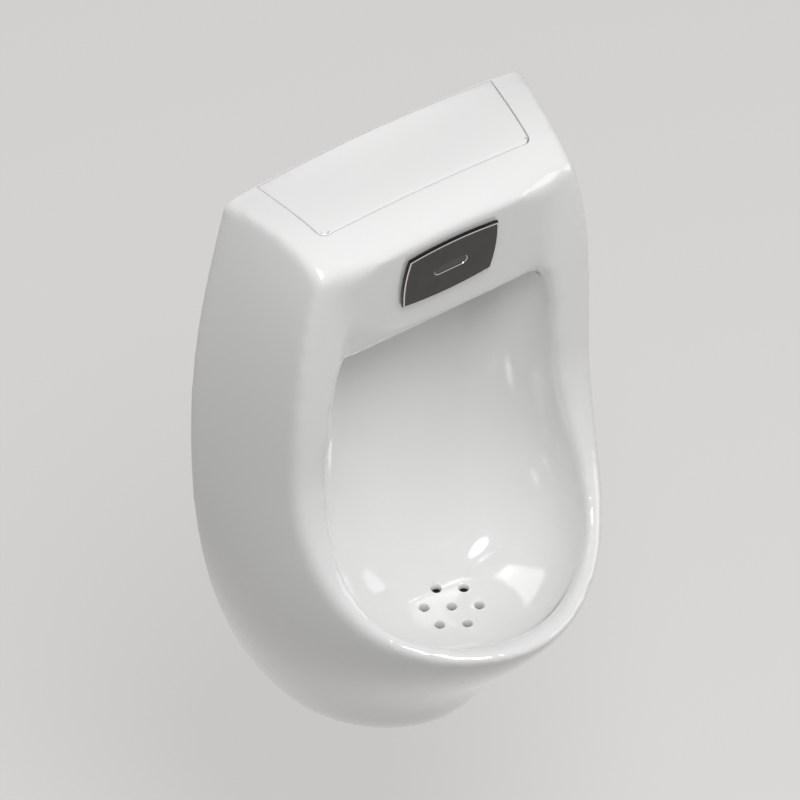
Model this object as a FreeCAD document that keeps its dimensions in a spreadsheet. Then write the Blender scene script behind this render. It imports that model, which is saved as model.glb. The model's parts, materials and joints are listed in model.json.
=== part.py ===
import FreeCAD, Part
import math
import os
import re
import Sketcher

# A wall hung urinal with a flush valve and an eye under its lift-off lid.
# +X is to the right, -Y is out from the wall and +Z is up.  The wall is the plane
# Y = 0 and the origin is the middle of the four hanger screws.  "drop" is a distance
# below the crown of the ceramic, "depth" a distance out from the wall.

doc = FreeCAD.newDocument("wall_hung_urinal")
sheet = doc.addObject("Spreadsheet::Sheet", "Sizes")

SIZES = {
    # where the hanger screws are, and the ceramic's wall
    "hanger_drop": 168.0,
    "wall": 10.0,
    # the outside, level by level: drop, half width at the wall, half width at the
    # flank's widest curve, and how far the nose stands out
    "crown_drop": -16.0, "crown_side": 144.0, "crown_flank": 106.0, "crown_nose": 259.0,
    "collar_drop": 35.0, "collar_side": 155.0, "collar_flank": 121.0, "collar_nose": 259.0,
    "cheek_drop": 120.0, "cheek_side": 173.0, "cheek_flank": 134.0, "cheek_nose": 259.0,
    "waist_drop": 270.0, "waist_side": 185.0, "waist_flank": 140.0, "waist_nose": 259.0,
    "lip_drop": 400.0, "lip_side": 176.0, "lip_flank": 141.0, "lip_nose": 257.0,
    "chin_drop": 510.0, "chin_side": 151.0, "chin_flank": 126.0, "chin_nose": 186.0,
    "heel_drop": 570.0, "heel_side": 129.0, "heel_flank": 107.0, "heel_nose": 148.0,
    "foot_drop": 624.0, "foot_side": 101.0, "foot_flank": 84.0, "foot_nose": 115.0,
    # the upright front frame and the sweep of the rim into the lip
    "frame_depth": 111.0, "sweep_drop": 230.0, "rim_drop": 398.0, "sweep_depth": 240.0,
    # the crown: its height over the datum in the middle, and its fall to the sides
    "crown_back": 8.5, "crown_lid": 2.3, "crown_brink": -4.0, "crown_front": -19.0,
    "lid_line_depth": 80.0, "brink_depth": 104.0, "front_line_depth": 126.0,
    "crown_half": 120.0, "back_fall": 9.0, "lid_fall": 5.5, "brink_fall": 9.0,
    "front_fall": 12.0,
    # the recessed panel that carries the eye
    "niche_half": 102.0, "panel_top_depth": 118.0, "panel_top_drop": 16.0,
    "panel_foot_depth": 100.0, "panel_foot_drop": 128.0, "brow_drop": 134.0,
    # the bowl, level by level: drop, back depth, half width and nose depth
    "brow_back": 38.0, "brow_half": 104.0, "brow_nose": 236.0,
    "upper_drop": 200.0, "upper_back": 34.0, "upper_half": 113.0, "upper_nose": 236.0,
    "middle_drop": 305.0, "middle_back": 38.0, "middle_half": 119.5, "middle_nose": 236.0,
    "mouth_drop": 396.0, "mouth_back": 54.0, "mouth_half": 118.0, "mouth_nose": 236.0,
    "basin_drop": 432.0, "basin_back": 70.0, "basin_half": 100.0, "basin_nose": 216.0,
    "floor_drop": 456.0, "floor_back": 88.0, "floor_half": 68.0, "floor_nose": 184.0,
    "drain_drop": 466.0, "drain_back": 104.0, "drain_half": 34.0, "drain_nose": 152.0,
    # the drain, the sump under it and the built-in trap
    "drain_depth": 128.0, "drain_circle": 24.0, "drain_hole": 4.0, "sump_radius": 31.0,
    "sump_height": 16.0, "trap_bore": 19.0, "trap_wall": 7.0, "trap_bend": 32.0,
    "trap_foot_drop": 542.0, "outlet_drop": 490.0, "socket_bore": 27.0,
    "socket_length": 30.0, "pipe_radius": 20.0, "seal_length": 26.0, "seal_play": 0.2,
    # the lift-off lid and its seat
    "lid_back_half": 116.0, "lid_front_half": 103.0, "lid_depth": 78.5,
    "lid_thickness": 9.0, "lid_gap": 1.2, "lid_corner": 8.0, "lid_ledge": 9.0,
    "ledge_thickness": 7.0,
    "pad_height": 2.0, "pad_radius": 4.0, "pad_inset": 4.5, "pad_gap": 0.3,
    "pad_back_depth": 16.0, "pad_front_depth": 60.0, "lid_wall_gap": 1.5,
    # the eye: plate, window, housing and what clamps them
    "sensor_drop": 58.5, "plate_half": 46.5, "plate_corner_half": 44.0,
    "plate_corner_rise": 30.5, "plate_rise": 34.5, "plate_thickness": 3.0,
    "plate_bevel": 1.2, "gasket_thickness": 1.2, "gasket_inset": 4.0,
    "slot_half": 11.0, "slot_radius": 4.8, "window_gap": 0.15, "window_sink": 0.8,
    "housing_half": 26.0, "housing_rise": 16.0, "housing_depth": 34.0,
    "housing_wall": 2.0, "housing_cap": 2.5, "housing_hole_gap": 1.5,
    "board_back": 9.0, "board_thickness": 1.6, "diode_radius": 2.5, "diode_apart": 7.5,
    "diode_front": 1.2, "stud_x": 36.0, "stud_radius": 2.0, "stud_length": 24.0,
    "stud_hole_gap": 0.4, "clamp_half": 6.5, "clamp_rise": 15.0,
    "clamp_thickness": 2.5, "wing_radius": 5.5, "wing_height": 5.0,
    # the battery box and its four cells
    "battery_x": -65.0, "battery_depth": 64.0, "battery_wall": 1.8,
    "cell_radius": 7.0, "cell_length": 50.0, "cell_gap": 0.4, "contact_thickness": 1.2,
    "contact_gap": 0.3, "cover_thickness": 3.0, "cover_gap": 0.2, "hinge_radius": 3.0,
    "hinge_gap": 0.6, "hinge_drop": 8.0, "ear_width": 5.0, "pin_radius": 1.2,
    "pin_play": 0.05,
    # the water inlet and the quarter-turn stop
    "inlet_x": 62.0, "inlet_drop": 80.0, "union_radius": 14.0, "union_gap": 0.5,
    "neck_length": 3.5, "flange_thickness": 1.5, "washer_thickness": 1.5,
    "thread_length": 8.5, "thread_radius": 9.32, "flange_radius": 9.7,
    "tail_radius": 7.0, "way_radius": 5.0, "tail_play": 0.3, "filter_wall": 0.5,
    "filter_length": 8.0, "stop_start": 20.0, "stop_length": 28.0, "stop_radius": 13.0,
    "ball_radius": 9.0, "ball_play": 0.2, "ball_flat": 7.0, "spindle_radius": 4.0,
    "spindle_play": 0.05, "neck_radius": 7.0, "neck_height": 20.0, "seal_height": 1.5,
    "lever_length": 34.0, "lever_width": 10.0, "lever_thickness": 3.0,
    "lever_rise": 24.0, "lever_nut_radius": 6.5, "lever_nut_height": 3.5,
    # the solenoid valve and its stand
    "valve_half": 18.0, "valve_top_drop": 66.0, "valve_height": 32.0,
    "chamber_radius": 13.0, "chamber_height": 20.0, "seat_radius": 6.5,
    "seat_height": 10.0, "throat_radius": 4.0, "port_radius": 4.5, "port_drop": 92.0,
    "bonnet_height": 6.0,
    "guide_radius": 6.0, "guide_bore": 5.0, "guide_height": 32.0, "guide_cap": 2.0,
    "guide_flange": 9.0, "piston_play": 0.3, "piston_height": 5.7,
    "face_thickness": 0.8, "face_gap": 0.1, "plunger_play": 0.3, "plunger_length": 22.0,
    "plunger_gap": 0.2, "coil_radius": 14.0, "coil_height": 21.5, "coil_play": 0.2,
    "coil_nut_radius": 9.0, "coil_nut_height": 4.0, "spring_radius": 4.1,
    "spring_wire": 1.0, "spring_gap": 0.2, "screw_radius": 1.6, "screw_length": 12.0,
    "screw_head": 2.8, "screw_head_height": 2.5, "screw_apart": 13.5,
    "stand_thickness": 2.0, "stand_across": 30.0,
    # the flush tube and the spreader in the bowl's ceiling
    "tube_bore": 4.0, "tube_wall": 1.0, "tube_bend": 13.0, "tube_end_drop": 110.0,
    "tube_nut_radius": 9.0, "tube_nut_length": 8.0, "nut_cover": 3.0,
    "shank_radius": 8.0, "shank_gap": 0.5, "spreader_radius": 15.0,
    "spreader_height": 4.0, "spreader_seal": 1.0, "spray_half": 9.0,
    "spray_height": 1.5, "lock_nut_radius": 13.0, "lock_nut_height": 6.0,
    # the leads
    "lead_radius": 2.0, "lead_bend": 6.0, "lead_gap": 0.5, "lead_run": 14.0,
    "battery_lead_x": -20.0, "battery_lead_rise": -9.5, "battery_lead_drop": 100.0,
    "valve_lead_x": 18.0, "valve_lead_rise": 6.0,
    # the two hanger brackets and the lugs that hang on them
    "hanger_x": 135.0, "hanger_half": 15.0, "hanger_plate": 3.0, "hanger_pitch": 24.0,
    "hanger_hole": 3.5, "hook_reach": 17.0, "hook_drop": 137.0, "hook_height": 15.0,
    "plate_foot": 12.0, "lug_gap": 0.5, "lug_roof": 12.0, "lug_cheek": 9.0,
}

for row, (name, value) in enumerate(SIZES.items(), start=1):
    sheet.set(f"A{row}", name)
    sheet.set(f"B{row}", str(value))
    sheet.setAlias(f"B{row}", name)
doc.recompute()

OVERRUN = 6.0               # how far a cutting solid runs past the face it cuts
NODES = []


def size(name):
    """The value of a named size, in millimetres."""
    return float(getattr(sheet, name))


def bound(text):
    """An expression of the document, from one written with bare size names."""
    return re.sub(r"[A-Za-z_]\w*", lambda word: "Sizes." + word[0]
                  if word[0] in SIZES else word[0], text)


def bind(thing, **expressions):
    """Tie properties of a feature to the sheet."""
    for name, text in expressions.items():
        thing.setExpression(name, bound(text))
    return thing


def level(drop):
    """The height of a drop, as an expression."""
    return f"(hanger_drop - ({drop}))"


def put(thing, at):
    """Tie a feature's place to the sheet: x, depth and drop."""
    thing.setExpression("Placement.Base.x", bound(at[0]))
    thing.setExpression("Placement.Base.y", bound(f"-({at[1]})"))
    thing.setExpression("Placement.Base.z", bound(level(at[2])))
    return thing


def new(kind, name):
    return doc.addObject(kind, name)


def node(thing, label):
    """Name a finished sub-part."""
    thing.Label = label
    NODES.append(thing)
    return thing


TURNS = {"Z": FreeCAD.Rotation(), "Y": FreeCAD.Rotation(FreeCAD.Vector(1, 0, 0), -90),
         "X": FreeCAD.Rotation(FreeCAD.Vector(0, 1, 0), 90),
         "-Z": FreeCAD.Rotation(FreeCAD.Vector(1, 0, 0), 180)}


def local_box(name, x, y, z):
    """A box in a piece's own frame, each side as a pair of expressions."""
    box = new("Part::Box", name)
    bind(box, Length=f"({x[1]}) - ({x[0]})", Width=f"({y[1]}) - ({y[0]})",
         Height=f"({z[1]}) - ({z[0]})")
    for axis, side in zip("xyz", (x, y, z)):
        box.setExpression("Placement.Base." + axis, bound(side[0]))
    return box


def world_box(name, x, depth, drop):
    """A box between two x, two depths and two drops."""
    return local_box(name, x, (f"-({depth[1]})", f"-({depth[0]})"),
                     (level(drop[1]), level(drop[0])))


def rod(name, radius, length, at, axis="Z"):
    """A cylinder that starts at a place (x, depth, drop) and runs along an axis."""
    cylinder = new("Part::Cylinder", name)
    cylinder.Placement.Rotation = TURNS[axis]
    bind(cylinder, Radius=radius, Height=length)
    return put(cylinder, at)


def local_rod(name, radius, length, at, axis="Z"):
    """A cylinder in a piece's own frame."""
    cylinder = new("Part::Cylinder", name)
    cylinder.Placement.Rotation = TURNS[axis]
    bind(cylinder, Radius=radius, Height=length)
    for letter, text in zip("xyz", at):
        cylinder.setExpression("Placement.Base." + letter, bound(text))
    return cylinder


def fuse(name, *things):
    joined = new("Part::MultiFuse", name)
    joined.Shapes = list(things)
    joined.Refine = True
    return joined


def group(name, *things):
    """Like pieces kept as separate solids in one node."""
    together = new("Part::Compound", name)
    together.Links = list(things)
    return together


def cut(name, base, *tools):
    carved = new("Part::Cut", name)
    carved.Base = base
    carved.Tool = tools[0] if len(tools) == 1 else fuse(name + "_tools", *tools)
    return carved


def plane_of(body, role):
    return next(f for f in body.Origin.OriginFeatures if f.Role == role)


def outline(body, role, points):
    """A closed sketch of straight lines, with each corner tied to the sheet."""
    sketch = body.newObject("Sketcher::SketchObject", body.Name + "_outline")
    sketch.AttachmentSupport = [(plane_of(body, role), "")]
    sketch.MapMode = "FlatFace"
    corners = [FreeCAD.Vector(*[evaluate(text) for text in point], 0) for point in points]
    for i, corner in enumerate(corners):
        sketch.addGeometry(Part.LineSegment(corner, corners[(i + 1) % len(corners)]))
    for i, point in enumerate(points):
        sketch.addConstraint(Sketcher.Constraint(
            "Coincident", i, 2, (i + 1) % len(corners), 1))
        for kind, text, value in zip(("DistanceX", "DistanceY"), point, corners[i]):
            place = sketch.addConstraint(Sketcher.Constraint(kind, -1, 1, i, 1, value))
            sketch.setExpression(f"Constraints[{place}]", bound(text))
    return sketch


def evaluate(text):
    """The value of an expression of the sheet."""
    value = sheet.evalExpression(bound(text).replace("Sizes.", ""))
    return float(getattr(value, "Value", value))


def turned(name, profile, at, axis="Z"):
    """A turned piece: (radius, height) corners spun about its own axis."""
    body = new("PartDesign::Body", name)
    sketch = outline(body, "XZ_Plane", profile)
    spin = body.newObject("PartDesign::Revolution", name + "_spin")
    spin.Profile = sketch
    spin.ReferenceAxis = (sketch, ["V_Axis"])
    spin.Angle = 360.0
    body.Placement.Rotation = TURNS[axis]
    return put(body, at)


def ring(name, inner, outer, length, at, axis="Z"):
    """A plain turned ring or sleeve."""
    return turned(name, [(inner, "0"), (outer, "0"), (outer, length), (inner, length)],
                  at, axis)


def plate(name, profile, width, at_x):
    """A folded plate: a profile in (depth, height) run along X from the middle."""
    body = new("PartDesign::Body", name)
    sketch = outline(body, "YZ_Plane", profile)
    pad = body.newObject("PartDesign::Pad", name + "_run")
    pad.Profile = sketch
    pad.Midplane = True
    bind(pad, Length=width)
    body.setExpression("Placement.Base.x", bound(at_x))
    return body


# ---------------------------------------------------------------- ceramic body
# Glazed fireclay, cast in one piece: an outer shell, the bowl hung inside it, the
# panel for the eye, the sump, the trap and the lugs.  It is hollow and open behind.

OUTSIDE = ("crown", "collar", "cheek", "waist", "lip", "chin", "heel", "foot")
BOWL = ("brow", "upper", "middle", "mouth", "basin", "floor", "drain")
FLANK_SHARE = 0.545         # where along the nose's depth the flank width is given
CHEEK_WIDTH = 0.76          # the curve's third point: share of flank width
CHEEK_SHARE = 0.76          # ... and of the nose's depth
# the bowl's right side: shares of its half width and of its length, back to nose
BOWL_CURVE = ((0.42, 0.0), (0.64, 0.022), (0.82, 0.10), (1.0, 0.40), (0.70, 0.80), (0.0, 1.0))
QUARTER = 0.5523            # a Bezier's handle for a quarter of an ellipse


def height(drop):
    return size("hanger_drop") - drop


def point(x, depth, z):
    return FreeCAD.Vector(x, -depth, z)


def both_halves(half):
    """A spline through the right half of an outline, and its mirror image back again."""
    left = [FreeCAD.Vector(-p.x, p.y, p.z) for p in reversed(half[:-1])]
    curve = Part.BSplineCurve()
    curve.interpolate(half + left)
    return curve.toShape()


def outside_level(name, inset):
    """The plan outline of the outside at one level, drawn in by an inset."""
    z = height(size(name + "_drop"))
    side = size(name + "_side") - inset
    flank = size(name + "_flank") - inset
    nose = size(name + "_nose") - inset
    half = [point(side, 0, z), point(flank, FLANK_SHARE * nose, z),
            point(CHEEK_WIDTH * flank, CHEEK_SHARE * nose, z), point(0, nose, z)]
    behind = [point(-side, 0, z), point(-side, -OVERRUN, z), point(side, -OVERRUN, z), half[0]]
    lines = [Part.makeLine(a, b) for a, b in zip(behind, behind[1:])]
    return Part.Wire([both_halves(half)] + lines)


def bowl_level(name, drop, grow):
    """The closed plan outline of the bowl at one level, let out by a wall."""
    z = height(drop)
    back = size(name + "_back") - grow
    half = size(name + "_half") + grow
    nose = size(name + "_nose") + grow
    length = nose - back
    right = [point(across * half, back + along * length, z) for across, along in BOWL_CURVE]
    flat = Part.makeLine(point(-right[0].x, back, z), right[0])
    return Part.Wire([both_halves(right), flat])


def front_prism(inset, back_depth):
    """All that lies behind the front frame and under the sweep of the rim."""
    frame = size("frame_depth") - inset
    rim = size("rim_drop") + inset
    low = height(size("foot_drop")) + inset
    high = height(size("crown_drop")) + 2 * OVERRUN
    far = size("lip_nose") + 4 * OVERRUN
    begin = point(0, frame, height(size("sweep_drop")))
    end = point(0, size("sweep_depth"), height(rim))
    out = FreeCAD.Vector(0, -QUARTER * (size("sweep_depth") - frame), 0)
    down = FreeCAD.Vector(0, 0, -QUARTER * (rim - size("sweep_drop")))
    sweep = Part.BezierCurve()
    sweep.setPoles([begin, begin + down, end - out, end])
    corners = [end, point(0, far, end.z), point(0, far, low), point(0, back_depth, low),
               point(0, back_depth, high), point(0, frame, high), begin]
    lines = [Part.makeLine(a, b) for a, b in zip(corners, corners[1:])]
    face = Part.Face(Part.Wire([sweep.toShape()] + lines))
    reach = size("waist_side") + 2 * OVERRUN
    face.translate(FreeCAD.Vector(-reach, 0, 0))
    return face.extrude(FreeCAD.Vector(2 * reach, 0, 0))


def sky(inset):
    """All that lies over the domed crown, which is lowered by an inset."""
    half = size("crown_half")
    high = height(size("crown_drop")) + 6 * OVERRUN
    wide = size("waist_side") + 2 * OVERRUN
    stations = (("back", -OVERRUN), ("lid", size("lid_line_depth")),
                ("brink", size("brink_depth")), ("front", size("front_line_depth")))
    sections = []
    for name, depth in stations:
        middle = height(-size("crown_" + name)) - inset
        fall = size(name + "_fall") * (wide / half) ** 2
        arc = Part.Arc(point(-wide, depth, middle - fall), point(0, depth, middle),
                       point(wide, depth, middle - fall)).toShape()
        corners = [point(wide, depth, middle - fall), point(wide, depth, high),
                   point(-wide, depth, high), point(-wide, depth, middle - fall)]
        lines = [Part.makeLine(a, b) for a, b in zip(corners, corners[1:])]
        sections.append(Part.Wire([arc] + lines))
    return Part.makeLoft(sections, True, False)


def outer_form(inset, back_depth):
    """The whole outside as a solid, drawn in by an inset."""
    flanks = Part.makeLoft([outside_level(name, inset) for name in OUTSIDE], True, False)
    return flanks.common(front_prism(inset, back_depth))


def bowl_form(grow):
    """The bowl's hollow as a solid, let out by a wall."""
    drops = [size(name + "_drop") + grow for name in BOWL]
    drops[0] = size("brow_drop") - grow
    levels = [bowl_level(name, drop, grow) for name, drop in zip(BOWL, drops)]
    return Part.makeLoft(levels, True, False)


def lean():
    """The panel's angle to the wall, in radians."""
    return math.atan2(size("panel_top_depth") - size("panel_foot_depth"),
                      size("panel_foot_drop") - size("panel_top_drop"))


def brow_block(inset, foot_drop):
    """The block behind the panel's face, from the crown down to the brow."""
    slope = math.tan(lean())
    top = -2 * OVERRUN
    setback = inset / math.cos(lean())
    face_top = size("panel_top_depth") + (size("panel_top_drop") - top) * slope - setback
    face_foot = size("panel_foot_depth") - (foot_drop - size("panel_foot_drop")) * slope - setback
    back = size("lid_depth") - size("lid_ledge")
    corners = [point(0, back, height(top)), point(0, face_top, height(top)),
               point(0, face_foot, height(foot_drop)), point(0, back, height(foot_drop))]
    face = Part.Face(Part.makePolygon(corners + corners[:1]))
    half = size("niche_half")
    face.translate(FreeCAD.Vector(-half, 0, 0))
    return face.extrude(FreeCAD.Vector(2 * half, 0, 0))


def tall_box(half, depths, drops, middle=0.0):
    """A box from its half width, two depths and two drops."""
    corner = FreeCAD.Vector(middle - half, -depths[1], height(drops[1]))
    return Part.makeBox(2 * half, depths[1] - depths[0], drops[1] - drops[0], corner)


def trapezoid(back_half, front_half, depth, corner, drops, back_depth):
    """An upright prism with the lid's plan, its two front corners rounded."""
    low = height(drops[1])
    corners = [point(-back_half, back_depth, low), point(-front_half, depth, low),
               point(front_half, depth, low), point(back_half, back_depth, low)]
    face = Part.Face(Part.makePolygon(corners + corners[:1]))
    block = face.extrude(FreeCAD.Vector(0, 0, drops[1] - drops[0]))
    edges = [e for e in block.Edges
             if abs(e.tangentAt(e.FirstParameter).z) > 0.99 and e.CenterOfMass.y < -back_depth - 1]
    return block.makeFillet(corner, edges)


def lid_plan(grow, drops, back_depth):
    """The lid's plan, let out or drawn in all round."""
    return trapezoid(size("lid_back_half") + grow, size("lid_front_half") + grow,
                     size("lid_depth") + grow, size("lid_corner") + max(grow, -4.0),
                     drops, back_depth)


def trap_bar(radius, end_depth):
    """The water's way as a round bar: down, round, up over the weir and to the wall."""
    down = FreeCAD.Vector(0, 0, -1)
    toward_wall = FreeCAD.Vector(0, 1, 0)
    bend = size("trap_bend")
    front = size("drain_depth")
    back = front - 2 * bend
    top = height(size("drain_drop") + size("wall") + size("sump_height") / 2)
    foot = height(size("trap_foot_drop"))
    weir = height(size("outlet_drop"))
    leg = Part.makeCylinder(radius, top - foot, point(0, front, top), down)
    rise = Part.makeCylinder(radius, weir - bend - foot, point(0, back, weir - bend), down)
    run = Part.makeCylinder(radius, back - bend - end_depth, point(0, back - bend, weir),
                            toward_wall)
    turn = Part.Face(Part.Wire(Part.makeCircle(radius, point(0, front, foot), down)))
    turn = turn.revolve(point(0, front - bend, foot), FreeCAD.Vector(1, 0, 0), 180)
    crest = Part.Face(Part.Wire(Part.makeCircle(radius, point(0, back, weir - bend), down)))
    crest = crest.revolve(point(0, back - bend, weir - bend), FreeCAD.Vector(1, 0, 0), -90)
    return leg.fuse([turn, rise, crest, run]).removeSplitter()


def ceramic_shape():
    wall = size("wall")
    down = FreeCAD.Vector(0, 0, -1)
    toward_wall = FreeCAD.Vector(0, 1, 0)
    # the outer shell
    outside = outer_form(0.0, 0.0).cut(sky(0.0))
    hollow = outer_form(wall, -OVERRUN).cut(sky(wall))
    shell = outside.cut(hollow)
    # the bowl hung in it
    bowl = bowl_form(0.0)
    bowl_wall = bowl_form(wall).common(front_prism(0.0, 0.0))
    shell = shell.fuse(bowl_wall)
    # the opening between the frame's sides, and the panel that closes its top
    opening = tall_box(size("niche_half"), (size("lid_depth"), size("frame_depth") + 2 * OVERRUN),
                       (-2 * OVERRUN, size("brow_drop") + OVERRUN))
    shell = shell.cut(opening).cut(bowl)
    brow = brow_block(0.0, size("brow_drop"))
    behind = brow_block(wall, size("brow_drop") - wall)
    panel = brow.cut(sky(0.0)).cut(behind.cut(sky(wall)))
    ceiling = tall_box(size("niche_half"), (size("brow_back"), size("lid_depth")),
                       (size("brow_drop") - wall, size("brow_drop")))
    shell = shell.fuse(panel.fuse(ceiling.common(bowl_wall)))
    # a jamb each side, which joins the panel to the back of the frame
    for side in (-1, 1):
        jamb = tall_box(wall / 2, (size("lid_depth") - size("lid_ledge"),
                                   size("frame_depth") - wall / 2),
                        (-2 * OVERRUN, size("brow_drop")), side * (size("niche_half") + wall / 2))
        shell = shell.fuse(jamb.common(outside))
    # the sump and the trap
    floor = point(0, size("drain_depth"), height(size("drain_drop")))
    sump_depth = 1.5 * wall + size("sump_height")
    sump = Part.makeCylinder(size("sump_radius") + wall, sump_depth, floor + down * wall / 2, down)
    weir = height(size("outlet_drop"))
    neck_end = point(0, size("socket_length") + wall, weir)
    neck = Part.makeCylinder(size("socket_bore") + wall, size("socket_length") + wall,
                             neck_end, toward_wall)
    shell = shell.fuse(sump)
    shell = shell.fuse(trap_bar(size("trap_bore") + size("trap_wall"), 0.0))
    shell = shell.fuse(neck)
    basin = Part.makeCylinder(size("sump_radius"), size("sump_height"), floor + down * wall, down)
    socket = Part.makeCylinder(size("socket_bore"), size("socket_length") + OVERRUN,
                               point(0, size("socket_length"), weir), toward_wall)
    shell = shell.cut(basin).cut(trap_bar(size("trap_bore"), -OVERRUN)).cut(socket)
    holes = [Part.makeCylinder(size("drain_hole"), 2 * wall, floor - down * wall / 2, down)]
    for turn in range(6):
        angle = math.radians(90 + 60 * turn)
        offset = FreeCAD.Vector(math.cos(angle), math.sin(angle), 0) * size("drain_circle")
        hole = holes[0].copy()
        hole.translate(offset)
        holes.append(hole)
    shell = shell.cut(holes)
    # the lid's seat in the crown and the mouth under it
    seat_drop = size("lid_thickness") + size("pad_height")
    seat = lid_plan(size("lid_gap"), (-4 * OVERRUN, size("foot_drop")), -OVERRUN)
    seat = seat.common(sky(seat_drop))
    ledge = lid_plan(size("lid_gap") + size("lid_ledge"), (-4 * OVERRUN, 4 * wall), 0.0)
    ledge = ledge.common(sky(seat_drop + size("ledge_thickness")))
    shell = shell.fuse(ledge.common(outside)).cut(seat)
    mouth = lid_plan(-size("lid_ledge"), (-4 * OVERRUN, 4 * wall), -OVERRUN)
    shell = shell.cut(mouth)
    # the hole for the eye's housing and studs
    shell = shell.cut(eye_hole())
    # the spreader's hole in the ceiling
    shank = size("shank_radius") + size("shank_gap")
    spreader_depth = size("stop_start") + size("stop_length") + size("valve_half")
    above = point(0, spreader_depth, height(size("brow_drop") - 2 * wall))
    shell = shell.cut(Part.makeCylinder(shank, 3 * wall, above, down))
    # the two lugs that hang on the brackets
    for side in (-1, 1):
        shell = shell.fuse(lug(side).common(outside))
        shell = shell.cut(lug_slot(side))
    return shell


def eye_placement():
    """The eye's own frame: its middle on the panel's face, -Y straight out of it."""
    slope = math.tan(lean())
    depth = size("panel_top_depth") - (size("sensor_drop") - size("panel_top_drop")) * slope
    turn = FreeCAD.Rotation(FreeCAD.Vector(1, 0, 0), math.degrees(lean()))
    return FreeCAD.Placement(point(0, depth, height(size("sensor_drop"))), turn)


def eye_hole():
    """What the eye's housing and its two studs pass through."""
    gap = size("housing_hole_gap")
    half = size("housing_half") + gap
    tall = size("housing_rise") + gap
    through = size("wall") + 2 * OVERRUN
    window = Part.makeBox(2 * half, through, 2 * tall, FreeCAD.Vector(-half, -OVERRUN, -tall))
    holes = window
    for side in (-1, 1):
        start = FreeCAD.Vector(side * size("stud_x"), -OVERRUN, 0)
        holes = holes.fuse(Part.makeCylinder(size("stud_radius") + gap, through, start,
                                             FreeCAD.Vector(0, 1, 0)))
    holes.Placement = eye_placement()
    return holes


def lug(side):
    """A block inside the flank, over its bracket's hook."""
    inner = size("hanger_x") - size("hanger_half") - size("lug_cheek")
    outer = size("cheek_side")
    top = size("hook_drop") - size("hook_height") - size("lug_roof")
    depths = (size("hook_reach") - size("hanger_plate") - size("lug_cheek"),
              size("hook_reach") + size("lug_cheek"))
    return tall_box((outer - inner) / 2, depths, (top, size("hook_drop") - size("hanger_plate")),
                    side * (outer + inner) / 2)


def lug_slot(side):
    """The slot in a lug's underside that drops over the hook."""
    gap = size("lug_gap")
    depths = (size("hook_reach") - size("hanger_plate") - gap, size("hook_reach") + gap)
    return tall_box(size("hanger_half") + gap, depths,
                    (size("hook_drop") - size("hook_height"), size("hook_drop") + OVERRUN),
                    side * size("hanger_x"))


def formed(label, shape):
    """A sub-part whose shape is made by its own function."""
    feature = new("Part::Feature", label)
    feature.Shape = shape
    return node(feature, label)


formed("ceramic_body", ceramic_shape())


# ------------------------------------------------------------------- lift-off lid
# A glazed cover cast to the crown's own curve.  It sits on four rubber pads on the
# ledge of its seat and is lifted straight off to reach the valve and the batteries.

def lid_shape():
    block = lid_plan(0.0, (-4 * OVERRUN, 4 * size("wall")), size("lid_wall_gap"))
    return block.cut(sky(0.0)).common(sky(size("lid_thickness")))


def pad_shapes():
    """Four discs that fill the space between the lid and its ledge."""
    under_lid = sky(size("lid_thickness"))
    over_ledge = sky(size("lid_thickness") + size("pad_height") - size("pad_gap"))
    taper = (size("lid_front_half") - size("lid_back_half")) / size("lid_depth")
    pads = []
    for depth in (size("pad_back_depth"), size("pad_front_depth")):
        x = size("lid_back_half") + taper * depth - size("pad_inset")
        for side in (-1, 1):
            disc = Part.makeCylinder(size("pad_radius"), 8 * OVERRUN,
                                     point(side * x, depth, height(4 * OVERRUN)))
            pads.append(disc.common(over_ledge).cut(under_lid))
    return Part.makeCompound([solid for pad in pads for solid in pad.Solids])


formed("top_lid", lid_shape())
formed("lid_pads", pad_shapes())


# ------------------------------------------------------------------------ the eye
# A dark plate on the panel with an infrared window, and behind it the housing that
# passes through the ceramic.  Two studs and clamps hold the plate on its gasket.
# These pieces are made in the eye's own frame and set in place together.

def barrel(half, corner_half, corner_rise, rise, y_front, y_back):
    """A plate with four gently bowed sides, between two planes."""
    corners = [(-corner_half, corner_rise), (corner_half, corner_rise),
               (corner_half, -corner_rise), (-corner_half, -corner_rise)]
    middles = [(0, rise), (half, 0), (0, -rise), (-half, 0)]
    at = [FreeCAD.Vector(x, y_front, z) for x, z in corners]
    mid = [FreeCAD.Vector(x, y_front, z) for x, z in middles]
    arcs = [Part.Arc(at[i], mid[i], at[(i + 1) % 4]).toShape() for i in range(4)]
    face = Part.Face(Part.Wire(arcs))
    return face.extrude(FreeCAD.Vector(0, y_back - y_front, 0))


def obround(half, radius, y_front, y_back):
    """A slot's solid, with round ends."""
    long_way = y_back - y_front
    body = Part.makeBox(2 * half, long_way, 2 * radius, FreeCAD.Vector(-half, y_front, -radius))
    ends = [Part.makeCylinder(radius, long_way, FreeCAD.Vector(side * half, y_front, 0),
                              FreeCAD.Vector(0, 1, 0)) for side in (-1, 1)]
    return body.fuse(ends).removeSplitter()


def plate_shape():
    front = -size("gasket_thickness") - size("plate_thickness")
    back = -size("gasket_thickness")
    solid = barrel(size("plate_half"), size("plate_corner_half"), size("plate_corner_rise"),
                   size("plate_rise"), front, back)
    rim = [e for e in solid.Edges if abs(e.CenterOfMass.y - front) < 0.01]
    solid = solid.makeChamfer(size("plate_bevel"), rim)
    slot = obround(size("slot_half"), size("slot_radius"), front - OVERRUN, back + OVERRUN)
    return solid.cut(slot)


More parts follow.
